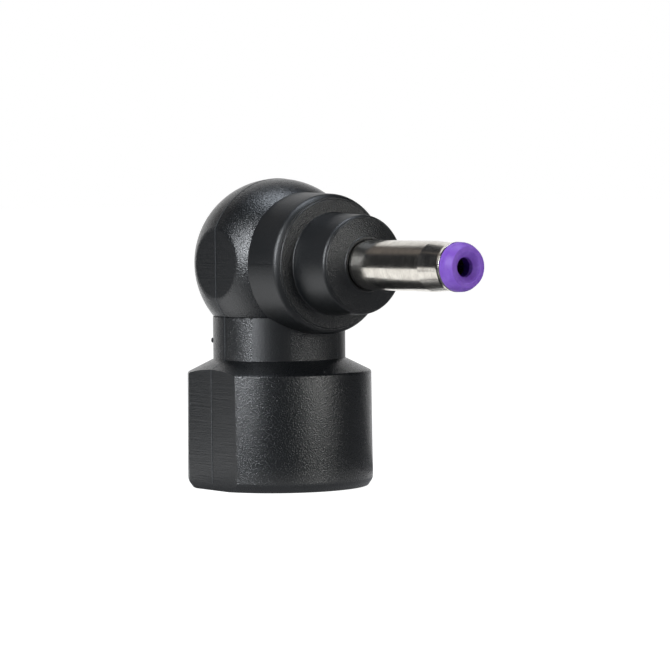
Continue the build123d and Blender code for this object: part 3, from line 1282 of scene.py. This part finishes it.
@dataclass
class Plug:
    """The plated barrel and the insulator that lines it and caps its end."""

    axis_height: float = 13.9
    barrel_diameter: float = 3.0
    barrel_wall: float = 0.20
    barrel_end: float = 17.78
    rolled_start: float = 15.82
    rolled_end: float = 17.40
    rolled_depth: float = 0.12
    rolled_rounding: float = 0.5
    rolled_start_rounding: float = 0.2
    lip_rise: float = 0.085
    lip_rounding: float = 0.04
    flange_diameter: float = 4.4
    flange_rear: float = 5.0
    flange_front: float = 5.6
    root_diameter: float = 3.5
    taper_start: float = 8.58
    taper_end: float = 9.03
    plug_end: float = 18.67
    tip_diameter: float = 2.91
    tip_draft: float = 0.02
    tip_rear_rounding: float = 0.03
    tip_chamfer_length: float = 0.45
    tip_chamfer_width: float = 0.25
    tip_rounding: float = 0.55
    tip_front_rounding: float = 0.07
    hole_diameter: float = 1.16
    hole_rounding: float = 0.05
    countersink_diameter: float = 1.86
    countersink_depth: float = 0.30
    countersink_rounding: float = 0.06
    web: float = 0.80
    chamber_diameter: float = 1.70
    liner_rear: float = 7.0
    # The hole's wall is painted darker as shade from this far behind the countersink's foot.
    painted_shade_from: float = 0.30
    hole_margin: float = 0.005
    web_margin: float = 0.01
    segments: int = 160

    @property
    def bore(self) -> float:
        """Radius inside the barrel."""
        return self.barrel_diameter / 2 - self.barrel_wall

    def build_barrel(self, material: Material) -> None:
        """Turn the barrel as a tube with its rolled-in end and lip, root and flange.

        Args:
            material: its plating.
        """
        radius, root, flange = (
            diameter / 2
            for diameter in (self.barrel_diameter, self.root_diameter, self.flange_diameter)
        )
        rolled = radius - self.rolled_depth
        lip = rolled + self.lip_rise
        lip_width = 2 * self.lip_rounding
        corners = [
            Corner(self.flange_rear, self.bore),
            Corner(self.flange_rear, flange),
            Corner(self.flange_front, flange),
            Corner(self.flange_front, root),
            Corner(self.taper_start, root),
            Corner(self.taper_end, radius),
            Corner(self.rolled_start, radius, self.rolled_start_rounding),
            Corner(self.rolled_end, rolled, self.rolled_rounding),
            Corner(self.barrel_end - lip_width, lip, self.lip_rounding),
            Corner(self.barrel_end, lip - lip_width, self.lip_rounding),
            Corner(self.barrel_end, self.bore),
        ]
        bm = turned(corners, Turning.BARREL, self.segments, self.axis_height, tube=True)
        finish_piece("plug_barrel_plated", bm, [material], "barrel_sleeve")

    def build_insulator(self, materials: Sequence[Material]) -> None:
        """Turn the insulator with its countersunk hole.

        Args:
            materials: its polymer, and the same polymer painted darker as shade deep in the hole
                and behind the web.
        """
        tip = self.tip_diameter / 2
        hole, chamber = self.hole_diameter / 2, self.chamber_diameter / 2
        sink = self.plug_end - self.countersink_depth
        dark, web = sink - self.painted_shade_from, sink - self.web
        chamfer = self.plug_end - self.tip_chamfer_length
        corners = [
            Corner(self.liner_rear, chamber),
            Corner(self.liner_rear, self.bore),
            Corner(self.barrel_end, self.bore),
            Corner(self.barrel_end, tip, self.tip_rear_rounding),
            Corner(chamfer, tip - self.tip_draft, self.tip_rounding),
            Corner(self.plug_end, tip - self.tip_chamfer_width, self.tip_front_rounding),
            Corner(self.plug_end, self.countersink_diameter / 2, self.countersink_rounding),
            Corner(sink, hole, self.hole_rounding),
            Corner(dark, hole),
            Corner(web, hole),
            Corner(web, chamber),
        ]
        bm = turned(corners, Turning.BARREL, self.segments, self.axis_height, tube=True)
        # Faces deep in the hole and behind the web get the darker polymer: painted shade, not a
        # different part.
        for face in bm.faces:
            centre = face.calc_center_median()
            off_axis = math.hypot(centre.y, centre.z - self.axis_height)
            inside = centre.x < dark and off_axis < hole + self.hole_margin
            face.material_index = int(inside or centre.x < web + self.web_margin)
        finish_piece("plug_insulator", bm, materials, "tip_insulator")


@dataclass(frozen=True)
class View:
    """Where the photograph was taken from, in millimetres.

    Args:
        turn: how far the camera stands to the plug's right, seen from above.
        elevation: how far it looks down.
        roll: how far it is turned about its line of sight.
        distance: from the origin, along the line of sight.
        aside: sideways from the origin.
        above: upwards from the origin.
        lens: focal length.
        sensor: width of the square picture that the lens throws.
        nearest: distance at which the camera starts to see.
        farthest: distance at which it stops.
    """

    turn: float = math.radians(36.844)
    elevation: float = math.radians(2.7946)
    roll: float = math.radians(0.5725)
    distance: float = 195.458
    aside: float = 3.3915
    above: float = 9.3669
    lens: float = 167.9
    sensor: float = 36.0
    nearest: float = 10.0
    farthest: float = 20000.0

    def axes(self) -> tuple[Vector, Vector, Vector]:
        """Work out how the camera is turned.

        Returns:
            The picture's right and upward directions, and the direction to the camera.
        """
        flat = math.cos(self.elevation)
        towards = Vector(
            (math.cos(self.turn) * flat, -math.sin(self.turn) * flat, math.sin(self.elevation))
        )
        level = Vector((math.sin(self.turn), math.cos(self.turn), 0.0))
        upward = towards.cross(level)
        right = level * math.cos(self.roll) - upward * math.sin(self.roll)
        up = level * math.sin(self.roll) + upward * math.cos(self.roll)
        return right, up, towards

    def place_camera(self) -> None:
        """Put the camera in the scene and make it the active one."""
        right, up, towards = self.axes()
        data = bpy.data.cameras.new("photo_camera")
        data.lens = self.lens
        data.sensor_width = self.sensor
        data.clip_start = self.nearest * MM
        data.clip_end = self.farthest * MM
        camera = bpy.data.objects.new("photo_camera", data)
        bpy.context.scene.collection.objects.link(camera)
        turn = Matrix((right, up, towards)).transposed().to_4x4()
        place = (right * self.aside + up * self.above + towards * self.distance) * MM
        camera.matrix_world = Matrix.Translation(place) @ turn
        bpy.context.scene.camera = camera


@dataclass(frozen=True)
class Lamp:
    """A softbox that faces the object.

    Args:
        name: its name.
        aside: degrees to the picture's left of the camera, seen from the object.
        height: degrees above the horizon.
        distance: from the object, in millimetres.
        width: in millimetres.
        tall: its other side, in millimetres.
        power: in watts.
        colour: of its light.
    """

    name: str
    aside: float
    height: float
    distance: float
    width: float
    tall: float
    power: float
    colour: Colour


@dataclass(frozen=True)
class Flag:
    """A card round the object that shows in its reflections, upright or lying on the floor.

    Args:
        name: its name.
        aside_from: first edge, in degrees to the picture's left of the camera.
        aside_to: last edge.
        near: its first distance from the upright axis, in millimetres.
        near_height: height there.
        far: its other distance.
        far_height: height there.
        colour: how it looks in a mirror.
    """

    name: str
    aside_from: float
    aside_to: float
    near: float
    near_height: float
    far: float
    far_height: float
    colour: Colour


CLOTH: Colour = (0.16, 0.165, 0.175)


@dataclass
class Studio:
    """Pale floor, white backdrop, softboxes, and dark cloth round the camera's side."""

    view: View
    target: Triple = (3.0, 0.0, 10.0)
    floor_size: float = 4000.0
    floor_lit: Colour = (0.72, 0.72, 0.72)
    floor_seen: Colour = (0.30, 0.30, 0.30)
    floor_glow: float = 0.965
    ambient: float = 0.15
    canopy_radius: float = 300.0
    canopy_left: float = 110.0
    canopy_right: float = -146.0
    canopy_rear_height: float = 40.0
    canopy_colour: Colour = (0.018, 0.019, 0.022)
    card_foot: float = 2.0
    flag_steps: int = 32
    lamps: tuple[Lamp, ...] = (
        Lamp("left_softbox", 47.0, 22.0, 170.0, 31.0, 120.0, 0.29, (0.92, 0.955, 1.0)),
        Lamp("right_softbox", -48.5, 16.0, 170.0, 54.0, 110.0, 0.128, (1.0, 1.0, 0.97)),
        Lamp("top_softbox", 180.0, 84.0, 170.0, 90.0, 60.0, 0.12, (0.84, 0.91, 1.0)),
    )
    flags: tuple[Flag, ...] = (
        Flag("left_flag", 92.0, 127.0, 95.0, 0.5, 95.0, 56.0, (0.020, 0.020, 0.021)),
        Flag("warm_flag", 116.0, 150.0, 150.0, 68.0, 150.0, 150.0, (0.17, 0.152, 0.142)),
        Flag("front_cloth", -146.0, 50.0, 8.0, 0.3, 290.0, 0.3, CLOTH),
        Flag("side_cloth", 50.0, 86.0, 42.0, 0.3, 290.0, 0.3, CLOTH),
        Flag("rear_cloth", 110.0, 140.0, 12.0, 0.3, 290.0, 0.3, CLOTH),
        Flag("foot_shade", -180.0, 180.0, 0.5, 0.02, 7.5, 0.02, (0.38, 0.39, 0.41)),
    )

    def _heading(self, aside: float, height: float = 0.0) -> Vector:
        """Direction from the object, by angles from the camera's side.

        Args:
            aside: degrees to the picture's left.
            height: degrees above the horizon.

        Returns:
            A unit direction.
        """
        azimuth, rise = -self.view.turn - math.radians(aside), math.radians(height)
        level = math.cos(rise)
        return Vector((math.cos(azimuth) * level, math.sin(azimuth) * level, math.sin(rise)))

    def _place_lamp(self, lamp: Lamp) -> None:
        """Hang one softbox.

        Args:
            lamp: its place, size and light.
        """
        data = bpy.data.lights.new(lamp.name, "AREA")
        data.shape = "RECTANGLE"
        data.size = lamp.width * MM
        data.size_y = lamp.tall * MM
        data.energy = lamp.power
        data.color = lamp.colour
        item = bpy.data.objects.new(lamp.name, data)
        bpy.context.scene.collection.objects.link(item)
        heading = self._heading(lamp.aside, lamp.height)
        item.location = (Vector(self.target) + heading * lamp.distance) * MM
        item.rotation_euler = heading.to_track_quat("Z", "Y").to_euler()
        item.visible_camera = False

    def _floor(self) -> None:
        """Lay the floor, which is white to the camera and keeps the object's shadow."""
        bm = bmesh.new()
        bmesh.ops.create_grid(bm, x_segments=1, y_segments=1, size=self.floor_size / 2)
        floor = metre_object("floor", bm)
        material = bpy.data.materials.new("pale_floor")
        graph = blank_graph(material)
        plain = graph.node("BsdfDiffuse", {"Color": opaque(self.floor_lit)})
        shaded = graph.node("BsdfDiffuse", {"Color": opaque(self.floor_seen)})
        glow = graph.node("Emission", {"Color": opaque(WHITE), "Strength": self.floor_glow})
        bright = graph.node("AddShader", {0: shaded.outputs[0], 1: glow.outputs[0]})
        graph.node("OutputMaterial", {"Surface": graph.lit_or_seen(plain, bright)})
        floor.data.materials.append(material)

    def _surroundings(self) -> None:
        """Make the world white to the camera and in reflections, and dim for plain light."""
        world = bpy.data.worlds.new("studio")
        bpy.context.scene.world = world
        graph = blank_graph(world)
        dim, white = (
            graph.node("Background", {"Color": opaque(WHITE), "Strength": strength})
            for strength in (self.ambient, 1.0)
        )
        graph.node("OutputWorld", {"Surface": graph.lit_or_seen(dim, white)})

    def _show_in_reflections(self, card: Object, colour: Colour) -> None:
        """Dress a studio card that only reflections see.

        Args:
            card: the card.
            colour: how it looks in a mirror.
        """
        material = bpy.data.materials.new(card.name)
        graph = blank_graph(material)
        glow = graph.node("Emission", {"Color": opaque(colour), "Strength": 1.0})
        graph.node("OutputMaterial", {"Surface": glow.outputs[0]})
        card.data.materials.append(material)
        card.visible_camera = False
        card.visible_diffuse = False
        card.visible_shadow = False
        card.visible_transmission = False

    def _canopy(self) -> None:
        """Spread the dark cloth round the camera and overhead, open towards the backdrop."""
        centre = Vector(self.target)
        bm = bmesh.new()
        bmesh.ops.create_uvsphere(bm, u_segments=64, v_segments=32, radius=self.canopy_radius)
        bmesh.ops.translate(bm, vec=centre, verts=bm.verts)
        middle = (self.canopy_left + self.canopy_right + 360.0) / 2
        left = self._heading(self.canopy_left) * self.canopy_radius
        right = self._heading(self.canopy_right) * self.canopy_radius
        rear = self._heading(middle, self.canopy_rear_height) * self.canopy_radius
        outward = (right - left).cross(rear - left).normalized()
        if outward.dot(self._heading(middle)) < 0:
            outward.negate()
        drop_beyond(bm, centre + left, outward)
        drop_beyond(bm, (0.0, 0.0, self.card_foot), DOWN)
        self._show_in_reflections(metre_object("dark_canopy", bm), self.canopy_colour)

    def _flag(self, flag: Flag) -> None:
        """Place one card by sweeping its edge round the upright axis.

        Args:
            flag: its place, size and colour.
        """
        bm = bmesh.new()
        heading = self._heading(flag.aside_to)
        ends = []
        for distance, height in ((flag.near, flag.near_height), (flag.far, flag.far_height)):
            ends.append(bm.verts.new(heading * distance + Vector((0.0, 0.0, height))))
        edge = bm.edges.new(ends)
        bmesh.ops.spin(
            bm,
            geom=[*ends, edge],
            axis=(0.0, 0.0, 1.0),
            angle=math.radians(flag.aside_to - flag.aside_from),
            steps=self.flag_steps,
        )
        self._show_in_reflections(metre_object(flag.name, bm), flag.colour)

    def build(self) -> None:
        """Set up the stage, the light and the colour settings."""
        self._floor()
        self._surroundings()
        self._canopy()
        for flag in self.flags:
            self._flag(flag)
        for lamp in self.lamps:
            self._place_lamp(lamp)
        bpy.context.scene.view_settings.view_transform = "Standard"
        LOG.info("studio: %d softboxes", len(self.lamps))


@dataclass
class Inside:
    """The sealed solids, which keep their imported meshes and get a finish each."""

    nodes: dict[str, Object]
    effects: Effects

    def finishes(self) -> dict[Slot, Finish]:
        """List what the hidden solids are made of.

        Returns:
            The finish of each hidden slot.
        """
        return {
            Slot.INNER_MOULD: MouldedFinish(
                "inner_mould_natural", (0.82, 0.80, 0.72), (0.86, 0.84, 0.77), relief=0.004
            ),
            Slot.BOARD: MouldedFinish(
                "board_mask", (0.03, 0.18, 0.08), (0.05, 0.24, 0.11), 0.3, relief=0.002
            ),
            Slot.RESISTOR: MouldedFinish(
                "resistor_glaze", (0.05, 0.05, 0.06), (0.08, 0.08, 0.09), 0.3, relief=0.002
            ),
            Slot.SOLDER: MetalFinish("solder_bright", (0.66, 0.66, 0.67), (0.50, 0.50, 0.51)),
            Slot.COPPER: MetalFinish("copper_bare", (0.86, 0.50, 0.32), (0.60, 0.30, 0.18)),
            Slot.RED_JACKET: MouldedFinish("jacket_red", (0.50, 0.03, 0.025), (0.56, 0.06, 0.05)),
            Slot.BLACK_JACKET: MouldedFinish("jacket_black", (0.02,) * 3, (0.04,) * 3),
            Slot.TINNED: MetalFinish("tin_on_brass", (0.74, 0.70, 0.62), (0.52, 0.47, 0.38)),
            Slot.BUSH: MouldedFinish("bush_white", (0.80, 0.80, 0.78), (0.85, 0.85, 0.83)),
        }

    def dress(self) -> None:
        """Give each kept solid its material, by the slot that the record names."""
        finishes = self.finishes().items()
        built = {slot.value: finish.build(self.effects) for slot, finish in finishes}
        for name, node in self.nodes.items():
            slot = node.data.materials[0].name.split(".")[0]
            if slot in built:
                node.material_slots[0].material = built[slot]
                LOG.info("%s: keeps its packed mesh, finish %s", name, built[slot].name)


def elbow_finishes() -> tuple[MouldedFinish, ...]:
    """Vary the elbow's black plastic over its regions.

    Returns:
        The finishes, in the order of the regions.
    """
    return (
        MouldedFinish("elbow_grained", roughness=0.28, worn_roughness=0.24, relief=0.018),
        MouldedFinish(
            "elbow_smooth", roughness=0.40, worn_roughness=0.36, relief=0.008, specular=0.66
        ),
        MouldedFinish(
            "elbow_flats", roughness=0.36, worn_roughness=0.30, relief=0.009, line_relief=0.020,
            specular=0.55,
        ),
        # The seam is painted a far paler grey than the black round it, and its grain peaks paler
        # still, so that it shows as a pale line.
        MouldedFinish(
            "elbow_seam", (0.05, 0.054, 0.058), (0.16, 0.165, 0.17), roughness=0.4,
            worn_roughness=0.3, grain=0.14, relief=0.02,
        ),
        MouldedFinish(
            "elbow_flats_grained", roughness=0.33, worn_roughness=0.28, relief=0.018,
            line_relief=0.003, specular=0.60,
        ),
        MouldedFinish(
            "elbow_faces", roughness=0.32, worn_roughness=0.26, grain=0.075, relief=0.030
        ),
    )


def main() -> None:
    logging.basicConfig(level=logging.INFO, format="%(name)s: %(message)s")
    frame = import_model()
    effects = Effects()
    view = View()
    view.place_camera()
    Studio(view).build()

    socket = Socket()
    Elbow().build([finish.build(effects) for finish in elbow_finishes()], socket.seat())
    plastic = MouldedFinish(
        "socket_plastic", (0.016, 0.016, 0.018), (0.03, 0.03, 0.032), relief=0.004
    )
    socket.build_shell(plastic.build(effects))
    gold = MetalFinish(
        "pin_gold", (0.94, 0.74, 0.36), (0.72, 0.52, 0.22), 0.16, 0.3, Turning.UPRIGHT
    )
    socket.build_pins(gold.build(effects))

    plug = Plug()
    nickel = MetalFinish("barrel_nickel", (0.70, 0.67, 0.61), (0.58, 0.54, 0.48))
    plug.build_barrel(nickel.build(effects))
    purple = SatinFinish("insulator_purple", (0.172, 0.068, 0.430), (0.27, 0.15, 0.58))
    # The hole's material is the purple painted nearly black: painted shade in the deep hole.
    hole = SatinFinish("insulator_hole_painted_shade", (0.030, 0.003, 0.140), (0.040, 0.006, 0.170), depth=0.02)
    plug.build_insulator([purple.build(effects), hole.build(effects)])
    Inside(frame["nodes"], effects).dress()


if __name__ == "__main__":
    main()
